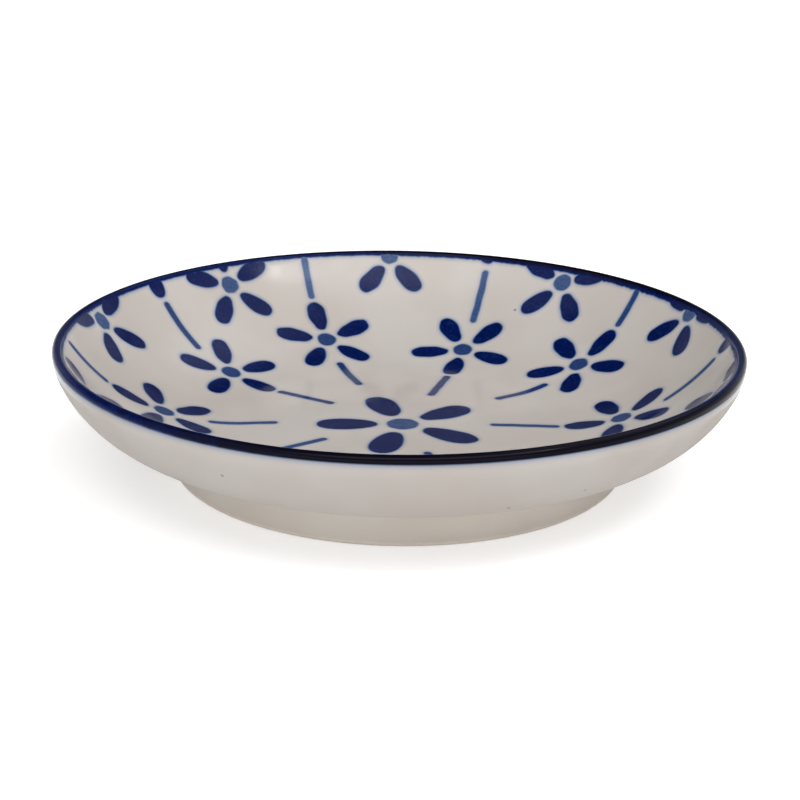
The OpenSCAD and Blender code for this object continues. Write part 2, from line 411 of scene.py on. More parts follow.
# The print was laid by hand: how far some flowers, with their stems, lie from their places, in millimetres
ASTRAY = {
    "near_1": (-0.62, -0.55),
    "near_2": (-0.14, 0.24),
    "near_3": (-0.34, -0.43),
    "near_4": (0.0, 1.4),
    "near_5": (-0.9, 1.4),
    "far_1": (-0.02, -0.21),
    "far_2": (-0.58, -0.03),
    "far_3": (0.5, -0.92),
    "low_1": (-0.09, -0.01),
    "low_2": (-0.31, -0.69),
    "low_3": (1.5, -0.3),
    "low_5": (-1.1, -1.5),
    "high_1": (-0.05, -0.02),
    "high_2": (-0.3, 1.02),
    "high_3": (0.32, -0.65),
    "tip_1": (-0.7, 0.95),
    "tip_2": (0.1, 1.5),
    "tip_3": (-0.6, -0.45),
    "tip_4": (0.0, 1.4),
    "tip_5": (-0.9, 1.4),
}

# How far some flowers, with their stems, are turned, in degrees
TURNED = {
    "middle_1": 2.1,
    "near_1": -2.3,
    "near_2": 0.9,
    "near_3": 4.5,
    "far_1": -2.7,
    "far_2": 1.1,
    "far_3": 4.9,
    "low_1": 0.5,
    "low_2": 0.4,
    "high_2": 0.5,
    "high_3": -1.4,
}

# The two petals beside the first, and how much nearer the middle of the print they lie, in millimetres
BESIDE_FIRST = (1, REPEATS - 1)
SIDES_IN = {"high_1": 0.65}

# How far the blue of a stem runs in the glaze: to both sides together, and past its end on the floor
STEM_SPREAD = 0.1 * MM
STEM_RUN = 0.45 * MM

# How far the end of a stem follows the petal tip that it leads to
STEM_FOLLOWS = 0.65

# How deep the lighter blue is laid: in the middle eye, the eyes of each ring, and the stems on the floor
# and at the rim, in the order of their numbers
PALE_EYE = 0.81
EYE_SHARES = {"near": 1.0, "far": 1.0, "low": PALE_EYE, "high": PALE_EYE}
INNER_STEMS = {"near": (0.88, 1.22, 1.22, 0.9, 1.0), "far": (1.22, 1.18, 0.88, 1.0, 1.0)}
RIM_STEMS = {"near": (0.85, 0.8, 1.08, 1.0, 1.0), "far": (0.95, 0.7, 1.0, 1.0, 1.0)}

# How far the print runs on under the rim band, and how much of a petal has to show below it
UNDER_BAND = 1.45 * MM
LEAST_SHOW = 0.3 * MM

# Soft edge of the colour: distance from the drawn outline, depth of the colour, and height of its skin.
# The colour lies in the glaze, so its skin stands hardly above the porcelain and ends just under it.
EDGE_FADE = (
    (-0.24 * MM, 1.0, 0.02 * MM),
    (-0.16 * MM, 0.8, 0.0195 * MM),
    (-0.08 * MM, 0.5, 0.0185 * MM),
    (0.0, 0.25, 0.017 * MM),
    (0.08 * MM, 0.11, 0.0155 * MM),
    (0.16 * MM, 0.065, 0.014 * MM),
    (0.27 * MM, 0.042, 0.012 * MM),
    (0.42 * MM, 0.02, 0.009 * MM),
    (0.6 * MM, 0.006, 0.005 * MM),
    (0.75 * MM, 0.0, 0.002 * MM),
    (1.1 * MM, 0.0, -0.006 * MM),
)
PRINT_H = EDGE_FADE[0][2]
PRINT_SUNK = 0.03 * MM
CUT_FADE = 0.1

# Steps of the printed meshes: shares of the rings inside a patch, and points round the outlines
INNER_SHARES = (0.25, 0.5, 0.75)
PETAL_POINTS = 44
EYE_POINTS = 36
STEM_SIDE_POINTS = 26
STEM_END_POINTS = 9

# Unevenness of the drawn outlines
WOBBLE = 0.045 * MM
STEM_WOBBLE = 0.02 * MM
WOBBLE_WAVES = (2, 3, 5, 7)
random = np.random.default_rng(SEED)


def plan(s, turn):
    """A point of the flat print, from its distance and turn."""
    return s * np.array([math.cos(turn), math.sin(turn)])


def astray(ring, k):
    """How far one flower of a ring lies from its place."""
    return np.array(ASTRAY.get(f"{ring}_{k + 1}", (0, 0))) * MM


def own_turn(ring, k):
    """How far one flower of a ring is turned."""
    return math.radians(TURNED.get(f"{ring}_{k + 1}", 0))


def sides_moved(ring, k, turn):
    """How far the side petals of one flower of a ring lie from their places."""
    return plan(-SIDES_IN.get(f"{ring}_{k + 1}", 0) * MM, turn)


def on_bowl(point):
    """Where a point of the flat print comes to lie from the axis of the bowl."""
    return PRINT_SCALE * point + np.array([PRINT_OFF, 0])


def turned(points, turn):
    """Turns flat points about the middle of their shape."""
    c, d = math.cos(turn), math.sin(turn)
    return points @ np.array([[c, d], [-d, c]])


def swung(point, middle, turn):
    """A point turned about another."""
    return middle + turned((point - middle)[None], turn)[0]


def grown(outline, by):
    """An outline moved out along its normals."""
    tangent = np.roll(outline, -1, 0) - np.roll(outline, 1, 0)
    tangent /= np.linalg.norm(tangent, axis=1)[:, None]
    return outline + by * np.column_stack([tangent[:, 1], -tangent[:, 0]])


def uneven(outline, wobble=WOBBLE):
    """Gives an outline the slight waves of a drawn edge."""
    t = np.linspace(0, 2 * math.pi, len(outline), endpoint=False)
    wave = np.zeros(len(outline))
    for count in WOBBLE_WAVES:
        wave += random.normal() * np.sin(count * t + random.uniform(0, 2 * math.pi))
    return grown(outline, wobble * wave[:, None] / math.sqrt(len(WOBBLE_WAVES)))


def petal_outline(length, width):
    """Outline of a petal along x, fuller towards its outer end."""
    t = np.linspace(0, 2 * math.pi, PETAL_POINTS, endpoint=False)
    y = np.sign(np.sin(t)) * np.abs(np.sin(t)) ** PETAL_BLUNT * (1 - PETAL_FULL_SHARE * np.cos(t))
    return np.column_stack([-length / 2 * np.cos(t), -width / 2 * y / y.max()])


def stem_outline(length, width):
    """Outline of a stem along x, with round ends."""
    half = length / 2 - width / 2
    side = np.linspace(-half, half, STEM_SIDE_POINTS)
    end = np.linspace(-math.pi / 2, math.pi / 2, STEM_END_POINTS)[1:-1]
    low = np.column_stack([side, np.full(STEM_SIDE_POINTS, -width / 2)])
    far_end = np.column_stack([half + width / 2 * np.cos(end), width / 2 * np.sin(end)])
    return np.concatenate([low, far_end, -low, -far_end])


def patch(place, outline, fade):
    """A printed patch, a thin closed skin: its points, faces, depths of colour and smooth faces."""
    def ring_at(by):
        return grown(outline, by * fade[:, None])

    core = ring_at(EDGE_FADE[0][0])
    rings = [(core * share, np.ones(len(outline)), PRINT_H) for share in INNER_SHARES]
    rings += [(ring_at(by), 1 - fade * (1 - depth), height) for by, depth, height in EDGE_FADE]
    rim = ring_at(EDGE_FADE[-1][0])
    tops = len(rings)
    rings += [(rim * share, np.zeros(len(outline)), -PRINT_SUNK) for share in (1,) + INNER_SHARES[::-1]]
    count = len(outline)
    points = [laid(place, ring, height) for ring, _, height in rings]
    points += [laid(place, np.zeros((1, 2)), height) for height in (PRINT_H, -PRINT_SUNK)]
    depths = np.concatenate([depth for _, depth, _ in rings] + [[1.0, 0.0]])
    first, last = len(rings) * count, len(rings) * count + 1
    faces, smooth = [], []
    for j in range(count):
        k = (j + 1) % count
        faces.append((first, j, k))
        smooth.append(True)
        for i in range(len(rings) - 1):
            low, high = i * count, (i + 1) * count
            faces.append((low + j, high + j, high + k, low + k))
            smooth.append(i < tops - 1)
        bottom = (len(rings) - 1) * count
        faces.append((last, bottom + k, bottom + j))
        smooth.append(False)
    return settled(np.concatenate(points)), faces, depths, smooth


def printed(name, patches, material, shares=None):
    """One piece of the print, made of its patches, in the place of the node of that name."""
    points, faces, depths, smooth = [], [], [], []
    for one, share in zip(patches, shares or [1.0] * len(patches)):
        patch_points, patch_faces, patch_depths, patch_smooth = patch(*one)
        start = sum(len(made) for made in points)
        points.append(patch_points)
        faces += [tuple(start + v for v in face) for face in patch_faces]
        depths.append(share * np.asarray(patch_depths))
        smooth += patch_smooth
    piece = new_piece(name + "_print", np.concatenate(points), faces, material, [name], smooth)
    set_values(piece, "depth", np.concatenate(depths))


def petal_patch(flower, gap, turn, length, width):
    """One petal of a flower, or nothing where the rim band hides it."""
    middle = on_bowl(flower + plan(gap + length / 2, turn))
    outline = PRINT_SCALE * turned(uneven(petal_outline(length, width)), turn)
    reach = np.linalg.norm(middle + outline, axis=1)
    if reach.min() > LIP_S - (BAND_IN - LIP_IN) - LEAST_SHOW:
        return []
    return [cut_at_band(middle, outline)]


def cut_at_band(middle, outline):
    """Ends a patch a little way under the rim band, with hardly a soft edge there."""
    points = middle + outline
    s = np.linalg.norm(points, axis=1)
    end = BAND_S + UNDER_BAND
    points = points * np.minimum(1, end / s)[:, None]
    centre = (points.min(0) + points.max(0)) / 2
    return centre, points - centre, np.where(s > end, CUT_FADE, 1.0)


def flower_patches(flower, first_turn, gap, length, width, sides=0.0):
    """All petals of a flower, the two beside its first petal moved on their own."""
    found = []
    for j in range(REPEATS):
        place = flower + sides if j in BESIDE_FIRST else flower
        found += petal_patch(place, gap, first_turn + j * REPEAT_TURN, length, width)
    return found


def eye_patch(flower, diameter):
    """The round eye of a flower."""
    t = np.linspace(0, 2 * math.pi, EYE_POINTS, endpoint=False)
    outline = PRINT_SCALE * uneven(diameter / 2 * np.column_stack([np.cos(t), np.sin(t)]))
    return cut_at_band(on_bowl(flower), outline)


def stem_patch(start, end, moved):
    """A stem between two points of the flat print, moved with its flower."""
    run = end - start
    outline = uneven(stem_outline(np.linalg.norm(run), STEM_W + STEM_SPREAD), STEM_WOBBLE)
    outline = turned(outline, math.atan2(run[1], run[0]))
    return cut_at_band(on_bowl((start + end) / 2 + moved), PRINT_SCALE * outline)


def stem_pair(ring, k, inner_end, rim_start, rim_end):
    """The two stems of a flower: one on the floor that ends below it, and one above it to the rim."""
    ring_s, ring_turn, _ = RINGS[ring]
    turn = ring_turn + k * REPEAT_TURN
    moved = astray(ring, k)

    def on_line(s):
        return swung(plan(s, turn), plan(ring_s, turn), own_turn(ring, k))

    return [
        stem_patch(on_line(inner_end - STEM_L - STEM_RUN), on_line(inner_end), moved),
        stem_patch(on_line(rim_start), rim_end, moved),
    ]


def lip_path(w, height):
    """Radius and height of the points across the lip, lifted off the surface."""
    on_lip = np.clip(w, -LIP_IN, LIP_OUT)
    a = math.pi / 2 - on_lip / LIP_R
    radius = LIP_C[0] + (LIP_R + height) * np.cos(a)
    z = LIP_C[1] + (LIP_R + height) * np.sin(a)
    inside = (LIP_S + np.minimum(w + LIP_IN, 0) - FLOOR_R) / INNER_R
    radius = np.where(w < -LIP_IN, FLOOR_R + (INNER_R - height) * np.sin(inside), radius)
    z = np.where(w < -LIP_IN, INNER_C[1] - (INNER_R - height) * np.cos(inside), z)
    under = np.maximum(w - LIP_OUT, 0) / LIP_TURN_R
    radius = np.where(w > LIP_OUT, TURN_C[0] + (LIP_TURN_R + height) * np.cos(under), radius)
    z = np.where(w > LIP_OUT, TURN_C[1] - (LIP_TURN_R + height) * np.sin(under), z)
    return radius, z


def facing(turn, way, power):
    """One at a turn of the rim, less to both sides of it, and nothing opposite."""
    return np.maximum(np.cos(turn - way), 0) ** power


def ragged(turn, waves, falloff):
    """An uneven line round the rim: seeded waves, weaker as they get shorter."""
    total = np.zeros_like(turn)
    for count in waves:
        height = random.normal() * (waves[0] / count) ** falloff
        total += height * np.sin(count * turn + random.uniform(0, 2 * math.pi))
    return total


def rim_band(material):
    """The band of colour over the lip, with its uneven soft edges."""
    turn = np.linspace(0, 2 * math.pi, BAND_TURN_STEPS, endpoint=False)
    long_waves = ragged(turn, BAND_LONG_WAVES, BAND_LONG_FALLOFF)
    short_waves = ragged(turn, BAND_SHORT_WAVES, BAND_SHORT_FALLOFF)
    out_waves = ragged(turn, BAND_OUT_WAVES, BAND_LONG_FALLOFF)
    right = facing(turn, BAND_RIGHT_TURN, BROAD)
    left = facing(turn, BAND_LEFT_TURN, NARROW)
    dark_start = BAND_DARK_FROM + BAND_DARK_BACK * facing(turn, BAND_BACK_TURN, BROAD)
    dark_start += BAND_DARK_END * facing(turn, BAND_END_TURN, NARROWEST)
    inside = BAND_IN + BAND_IN_RIGHT * right + BAND_IN_LEFT * facing(turn, BAND_IN_LEFT_TURN, BROAD)
    inside += BAND_RAGGED * (long_waves + BAND_SHORT_SHARE * short_waves * (1 + right))
    outside = BAND_OUT + BAND_OUT_RIGHT * np.cos(turn) + BAND_RAGGED * out_waves
    stations = [(-inside - by, depth, height) for by, depth, height in EDGE_FADE[::-1]]
    core_in = inside + EDGE_FADE[0][0]
    core_out = outside + EDGE_FADE[0][0] * BAND_OUT_FADE
    for share in np.linspace(0, 1, BAND_CORE_STEPS)[1:-1]:
        w = -core_in * (1 - share) + core_out * share
        rise = np.minimum(np.minimum(w + core_in, core_out - w) / BAND_RISE, 1)
        stations.append((w, 1.0, PRINT_H + (BAND_H - PRINT_H) * rise))
    stations += [(outside + by * BAND_OUT_FADE, depth, height) for by, depth, height in EDGE_FADE]
    # The underside goes back under every second line
    stations += [(w, 0.0, -BAND_SUNK) for w, _, _ in stations[::-2]]
    points, depths, darks = [], [], []
    for w, depth, height in stations:
        radius, z = lip_path(w, height)
        points.append(np.column_stack([radius * np.cos(turn), radius * np.sin(turn), z]))
        depths += [depth] * BAND_TURN_STEPS
        dark = np.clip((w / BAND_OUT - dark_start) / (BAND_DARK_TO - BAND_DARK_FROM), 0, 1)
        darks.append(dark * (1 - BAND_LEFT_THIN * left))
    faces = []
    for i in range(len(stations)):
        low, high = i * BAND_TURN_STEPS, (i + 1) % len(stations) * BAND_TURN_STEPS
        for j in range(BAND_TURN_STEPS):
            k = (j + 1) % BAND_TURN_STEPS
            faces.append((low + j, high + j, high + k, low + k))
    points = settled(np.concatenate(points))
    piece = new_piece("rim_band_print", points, faces, material, ["rim_band"])
    set_values(piece, "depth", depths)
    set_values(piece, "dark", np.concatenate(darks))


# Materials

def colour(code):
    """Linear colour from a written sRGB one."""
    parts = [part / 255 for part in bytes.fromhex(code[1:])]
    return tuple(c / 12.92 if c <= 0.04045 else ((c + 0.055) / 1.055) ** 2.4 for c in parts) + (1.0,)


PORCELAIN = colour("#c6c0bb")
PORCELAIN_WARM = colour("#c0b8b1")
# The foot's colours are painted lighter than the bowl's porcelain: painted light that stands in for light
# under the bowl's belly. The bare edge is also paler because it is unglazed.
FOOT_PALE_LIT = colour("#dcd5cc")
FOOT_WARM_LIT = colour("#d6cdc3")
FOOT_BARE_LIT = colour("#e8ded3")
# Colour of the painted shade in the joint of bowl and foot
JOINT_SHADE = colour("#aaa29a")
SPECK = colour("#6d655e")
BAND_BLACK = colour("#0a0814")
MID_BLUE_DEPTH = 0.63

# What porcelain shows through the blue, by depth of the colour: thin blue takes the red first
BLUE_STOPS = (
    (0.0, (1.0, 1.0, 1.0)),
    (0.03, (0.84, 0.88, 0.965)),
    (0.07, (0.67, 0.745, 0.9)),
    (0.15, (0.42, 0.54, 0.78)),
    (0.3, (0.175, 0.305, 0.6)),
    (0.55, (0.045, 0.108, 0.352)),
    (0.78, (0.0115, 0.046, 0.246)),
    (1.0, (0.0006, 0.0115, 0.142)),
)

# Sockets of the mix node, which bear the same names for numbers and for colours
MIX_SHARE = 0
MIX_NUMBERS = (2, 3)
MIX_COLOURS = (6, 7)
MIX_COLOUR_OUT = 2


def put(tree, kind, settings, sockets):
    """Adds a node, sets its options, and fills its sockets with values or other nodes' outputs."""
    made = tree.nodes.new(kind)
    for key, value in settings.items():
        setattr(made, key, value)
    for key, value in sockets.items():
        if isinstance(value, bpy.types.NodeSocket):
            tree.links.new(value, made.inputs[key])
        else:
            made.inputs[key].default_value = value
    return made


def calc(tree, operation, a, b=0.0):
    """A number worked out from one or two others in a node tree."""
    return put(tree, "ShaderNodeMath", {"operation": operation}, {0: a, 1: b}).outputs[0]


def eased(tree, value, start, end, low=0.0, high=1.0):
    """A smooth step of a value between two limits."""
    sockets = {"Value": value, "From Min": start, "From Max": end, "To Min": low, "To Max": high}
    return put(tree, "ShaderNodeMapRange", {"interpolation_type": "SMOOTHSTEP"}, sockets).outputs[0]


def between(tree, share, a, b):
    """A number between two numbers."""
    first, second = MIX_NUMBERS
    return put(tree, "ShaderNodeMix", {}, {MIX_SHARE: share, first: a, second: b}).outputs[0]


def mixed(tree, share, a, b, blend="MIX"):
    """A colour between two colours, or blended from them in another way."""
    first, second = MIX_COLOURS
    settings = {"data_type": "RGBA", "blend_type": blend}
    sockets = {MIX_SHARE: share, first: a, second: b}
    return put(tree, "ShaderNodeMix", settings, sockets).outputs[MIX_COLOUR_OUT]


def noise(tree, place, size, detail=2.0):
    """Noise with marks of about a given size, in metres."""
    sockets = {"Vector": place, "Scale": 1 / size, "Detail": detail}
    return put(tree, "ShaderNodeTexNoise", {}, sockets).outputs[0]


def here(tree):
    """The place on the object, in metres."""
    return put(tree, "ShaderNodeTexCoord", {}, {}).outputs["Object"]


def stored(tree, name):
    """A number stored with the points of the mesh."""
    return put(tree, "ShaderNodeAttribute", {"attribute_name": name}, {}).outputs["Fac"]


# Iron specks in the glaze: place and radius, the share of it that is full, and how strong they are
SPECKS = (
    (Vector((-20.63, -41.16, 12.95)) * MM, 0.3 * MM),
    (Vector((13.29, -40.24, 9.13)) * MM, 0.34 * MM),
    (Vector((22.55, -37.71, 10.52)) * MM, 0.24 * MM),
    (Vector((18.28, 36.1, 11.63)) * MM, 0.34 * MM),
    (Vector((-24.6, 38.2, 8.3)) * MM, 0.3 * MM),
    (Vector((30.1, 27.5, 7.0)) * MM, 0.26 * MM),
)
SPECK_CORE = 0.4
SPECK_SHARE = 0.75

# Painted shade in the joint of bowl and foot: how far it reaches from the joint, and how strong it is
JOINT_SHADE_REACH = 1.1 * MM
JOINT_SHADE_SHARE = 0.6

# Range that holds most of a noise's values
MOST_NOISE = (0.3, 0.7)

# Marks in the glaze: their size, the range of noise in which they show, and how strong they are
CLOUD_SIZE = 14 * MM
GRAIN_SIZE = 0.9 * MM
GRAIN_RANGE = (0.62, 0.8)
GRAIN_SHARE = 0.25
RIPPLE_SIZE = 6 * MM
RIPPLE_DETAIL = 1.0
RIPPLE_H = 0.02 * MM

# Marks in the blue: fine mottling, broad drifts, and streaks of black in the rim band
MOTTLE_SIZE = 0.5 * GRAIN_SIZE
MOTTLE_LEVELS = (0.93, 1.05)
DRIFT_SIZE = 2.5 * GRAIN_SIZE
DRIFT_DETAIL = 4.0
DRIFT_RANGE = (0.45, 0.85)
DRIFT_LEVELS = (1.0, 0.88)
STREAK_SIZE = 2 * GRAIN_SIZE
STREAK_DETAIL = 3.0
STREAK_MIDDLE = 0.5
STREAK_SHARE = 0.5
BLACK_RANGE = (0.1, 0.9)
BLACK_DEPTHS = (0.0, 0.5)

# Gloss and roughness
GLAZE_GLOSS = 0.145
BAND_GLOSS = 0.06
GLAZE_ROUGH = (0.07, 0.13)
ROUGH_SIZE = 3 * GRAIN_SIZE
OUTER_ROUGH = 0.8
BARE_ROUGH = 0.8

# The bare edge of the foot: how its height varies, and where it passes into glaze
BARE_EDGE_SIZE = 2 * GRAIN_SIZE
BARE_EDGE = (1.3 * BARE_FOOT_H, 1.7 * BARE_FOOT_H)


def porcelain_colour(tree, place, pale=PORCELAIN, warm=PORCELAIN_WARM):
    """Glazed porcelain: warm white with faint clouds, a fine grain and a few iron specks."""
    cloud = eased(tree, noise(tree, place, CLOUD_SIZE), *MOST_NOISE)
    tone = mixed(tree, cloud, pale, warm)
    grain = eased(tree, noise(tree, place, GRAIN_SIZE), *GRAIN_RANGE, 0.0, GRAIN_SHARE)
    tone = mixed(tree, grain, tone, warm)
    for at, r in SPECKS:
        sockets = {0: place, 1: at}
        away = put(tree, "ShaderNodeVectorMath", {"operation": "DISTANCE"}, sockets).outputs["Value"]
        tone = mixed(tree, eased(tree, away, r * SPECK_CORE, r, SPECK_SHARE, 0.0), tone, SPECK)
    return tone


def joint_shaded(tree, place, tone):
    """The tone of the glaze, with painted shade that darkens it near the joint of the bowl and the foot."""
    height = put(tree, "ShaderNodeSeparateXYZ", {}, {0: place}).outputs[2]
    away = calc(tree, "ABSOLUTE", calc(tree, "SUBTRACT", height, FOOT_TOP_Z))
    return mixed(tree, eased(tree, away, JOINT_SHADE_REACH, 0.0, 0.0, JOINT_SHADE_SHARE), tone, JOINT_SHADE)


def glaze_rough(tree, place):
    """Roughness of the shiny glaze."""
    return eased(tree, noise(tree, place, ROUGH_SIZE), *MOST_NOISE, *GLAZE_ROUGH)


def bowl_rough(tree, place):
    """Roughness of the bowl, whose glaze is thinner and softer outside."""
    return between(tree, stored(tree, "outside"), glaze_rough(tree, place), OUTER_ROUGH)


def bare_foot(tree, place):
    """One where the foot is bare of glaze, near the face that it rests on."""
    height = put(tree, "ShaderNodeSeparateXYZ", {}, {0: place}).outputs[2]
    edge = calc(tree, "MULTIPLY", noise(tree, place, BARE_EDGE_SIZE), BARE_FOOT_H)
    return eased(tree, calc(tree, "ADD", height, edge), *BARE_EDGE, 1.0, 0.0)


def foot_rough(tree, place):
    """Roughness of the foot, with its bare edge."""
    return between(tree, bare_foot(tree, place), OUTER_ROUGH, BARE_ROUGH)


def glazed(name, gloss=GLAZE_GLOSS, rough=glaze_rough):
    """A material with the glaze's gloss and its faint ripple. Its colour is linked later."""
    material = bpy.data.materials.new(name)
    material.use_nodes = True
    tree = material.node_tree
    shader = tree.nodes["Principled BSDF"]
    shader.inputs["Specular IOR Level"].default_value = gloss
    place = here(tree)
    tree.links.new(rough(tree, place), shader.inputs["Roughness"])
    ripple = noise(tree, place, RIPPLE_SIZE, RIPPLE_DETAIL)
    bump = put(tree, "ShaderNodeBump", {}, {"Strength": 1.0, "Distance": RIPPLE_H, "Height": ripple})
    tree.links.new(bump.outputs[0], shader.inputs["Normal"])
    return material, tree, shader, place


def porcelain(name):
    """The glazed porcelain of the bowl."""
    material, tree, shader, place = glazed(name, rough=bowl_rough)
    tone = porcelain_colour(tree, place)
    # Painted shade darkens the outside of the bowl near its joint with the foot
    tone = mixed(tree, stored(tree, "outside"), tone, joint_shaded(tree, place, tone))
    tree.links.new(tone, shader.inputs["Base Color"])
    return material


def foot_porcelain(name):
    """Glazed porcelain with a bare, matt edge where the foot rests. Its colours are painted lighter, as
    painted light for the shade under the bowl, and painted shade darkens them at the joint.
    """
    material, tree, shader, place = glazed(name, rough=foot_rough)
    # The foot's colours are painted lighter for the shade under the bowl, and painted shade darkens them at
    # the joint
    glaze = joint_shaded(tree, place, porcelain_colour(tree, place, FOOT_PALE_LIT, FOOT_WARM_LIT))
    tree.links.new(mixed(tree, bare_foot(tree, place), glaze, FOOT_BARE_LIT), shader.inputs["Base Color"])
    return material


def through_blue(tree, place, depth):
    """The porcelain's colour seen through blue of a given depth."""
    ramp = put(tree, "ShaderNodeValToRGB", {}, {0: depth})
    stops = ramp.color_ramp.elements
    stops.remove(stops[1])
    for i, (at, seen) in enumerate(BLUE_STOPS):
        stop = stops[0] if i == 0 else stops.new(at)
        stop.position = at
        stop.color = seen + (1.0,)
    return mixed(tree, 1.0, porcelain_colour(tree, place), ramp.outputs[0], "MULTIPLY")


def mottled(tree, place, depth):
    """Depth of a colour that lies unevenly in the glaze."""
    fine = eased(tree, noise(tree, place, MOTTLE_SIZE), *MOST_NOISE, *MOTTLE_LEVELS)
    broad = eased(tree, noise(tree, place, DRIFT_SIZE, DRIFT_DETAIL), *DRIFT_RANGE, *DRIFT_LEVELS)
    return calc(tree, "MULTIPLY", depth, calc(tree, "MULTIPLY", fine, broad))


def ink(name, share):
    """Blue in the glaze: full in the middle, thin and soft at its edge, where it ends in the porcelain."""
    material, tree, shader, place = glazed(name)
    depth = mottled(tree, place, calc(tree, "MULTIPLY", stored(tree, "depth"), share))
    tree.links.new(through_blue(tree, place, depth), shader.inputs["Base Color"])
    return material


def band_ink(name):
    """The rim's blue: nearly black where it is thick, bluer inside and on the left, soft at both edges."""
    material, tree, shader, place = glazed(name, BAND_GLOSS)
    depth = stored(tree, "depth")
    blue = through_blue(tree, place, mottled(tree, place, depth))
    streak = calc(tree, "SUBTRACT", noise(tree, place, STREAK_SIZE, STREAK_DETAIL), STREAK_MIDDLE)
    streak = calc(tree, "MULTIPLY", streak, STREAK_SHARE)
    dark = eased(tree, calc(tree, "ADD", stored(tree, "dark"), streak), *BLACK_RANGE)
    dark = calc(tree, "MULTIPLY", dark, eased(tree, depth, *BLACK_DEPTHS))
    tree.links.new(mixed(tree, dark, blue, BAND_BLACK), shader.inputs["Base Color"])
    return material


# The pieces

bowl_material = porcelain("glazed_porcelain")
foot_material = foot_porcelain("foot_porcelain")
dark_ink = ink("dark_blue", 1.0)
light_ink = ink("light_blue", MID_BLUE_DEPTH)

bowl_line = bowl_profile()
bowl_points, bowl_faces = lathe(bowl_line, False)
bowl_points = settled(bowl_points)
bowl = new_piece("bowl_porcelain", bowl_points, bowl_faces, bowl_material, ["bowl"])
past_lip = np.arange(len(bowl_line)) > FLOOR_STEPS + INNER_STEPS + LIP_STEPS
set_values(bowl, "outside", np.concatenate([np.repeat(past_lip[1:-1], TURN_STEPS), past_lip[[0, -1]]]))
foot_points, foot_faces = lathe(foot_profile(), True)
new_piece("foot_ring_porcelain", foot_points, foot_faces, foot_material, ["foot_ring"])

middle = plan(0, 0)
middle_turn = NEAR_TURN + math.pi + own_turn("middle", 0)
middle_petals = flower_patches(middle, middle_turn, MIDDLE_PETAL_GAP, MIDDLE_PETAL_L, MIDDLE_PETAL_W)
printed("middle_flower_petals", middle_petals, dark_ink)
printed("middle_flower_eye", [eye_patch(middle, MIDDLE_EYE_D)], light_ink, [PALE_EYE])

for ring, (ring_s, ring_turn, petal_turn) in RINGS.items():
    for k in range(REPEATS):
        name = f"{ring}_flower_{k + 1}"
        turn = ring_turn + k * REPEAT_TURN
        flower = plan(ring_s, turn) + astray(ring, k)
        first_turn = petal_turn + k * REPEAT_TURN + own_turn(ring, k)
        sides = sides_moved(ring, k, turn)
        petals = flower_patches(flower, first_turn, PETAL_GAP, PETAL_L, PETAL_W, sides)
        printed(name + "_petals", petals, dark_ink)
        printed(name + "_eye", [eye_patch(flower, EYE_D)], light_ink, [EYE_SHARES[ring]])

tips = []
for k in range(REPEATS):
    near_turn = NEAR_TURN + k * REPEAT_TURN
    far_turn = FAR_TURN + k * REPEAT_TURN
    tip_moved = astray("tip", k)
    near_rim_end = plan(TIP_S - STEM_GAP, near_turn) + STEM_FOLLOWS * (tip_moved - astray("near", k))
    far_rim_end = plan(PRINT_R + STEM_W, far_turn)
    near_stems = stem_pair("near", k, NEAR_S - PETAL_REACH - STEM_GAP, NEAR_S + STEM_NOTCH, near_rim_end)
    far_stems = stem_pair("far", k, FAR_S - STEM_NOTCH, PRINT_R - RIM_STEM_L, far_rim_end)
    for ring, stems in (("near", near_stems), ("far", far_stems)):
        shares = [INNER_STEMS[ring][k], RIM_STEMS[ring][k]]
        printed(f"{ring}_stems_{k + 1}", stems, light_ink, shares)
    tip_end = plan(TIP_S + PETAL_L, near_turn) + tip_moved
    tips += petal_patch(tip_end, 0, near_turn + math.pi, PETAL_L, PETAL_W)
printed("rim_petal_tips", tips, dark_ink)
rim_band(band_ink("rim_blue"))


# Floor, light and camera

FLOOR_SIZE = 3.0
FLOOR_CORNERS = ((-1, -1), (1, -1), (1, 1), (-1, 1))
FLOOR_GAP = 0.02 * MM
FLOOR_WHITE = colour("#e9e9e9")
FLOOR_GLOW = 0.5
WHITE = (1.0, 1.0, 1.0, 1.0)


def seen_ray(tree):
    """One for rays that show the background: those of the camera, of reflections and through glass."""
    path = put(tree, "ShaderNodeLightPath", {}, {})
    seen = calc(tree, "MAXIMUM", path.outputs["Is Camera Ray"], path.outputs["Is Glossy Ray"])
    return calc(tree, "MAXIMUM", seen, path.outputs["Is Transmission Ray"])


def floor():
    """A plain white floor that keeps the dish's shadow."""
    material = bpy.data.materials.new("floor_white")
    material.use_nodes = True
    tree = material.node_tree
    shader = tree.nodes["Principled BSDF"]
    shader.inputs["Base Color"].default_value = FLOOR_WHITE
    shader.inputs["Roughness"].default_value = 1.0
    shader.inputs["Specular IOR Level"].default_value = 0.0
    shader.inputs["Emission Color"].default_value = WHITE
    tree.links.new(calc(tree, "MULTIPLY", seen_ray(tree), FLOOR_GLOW), shader.inputs["Emission Strength"])
    mesh = bpy.data.meshes.new("floor")
    corners = [(x * FLOOR_SIZE, y * FLOOR_SIZE, -FLOOR_GAP) for x, y in FLOOR_CORNERS]
    mesh.from_pydata(corners, [], [(0, 1, 2, 3)])
    mesh.materials.append(material)
    made = bpy.data.objects.new("floor", mesh)
    bpy.context.scene.collection.objects.link(made)


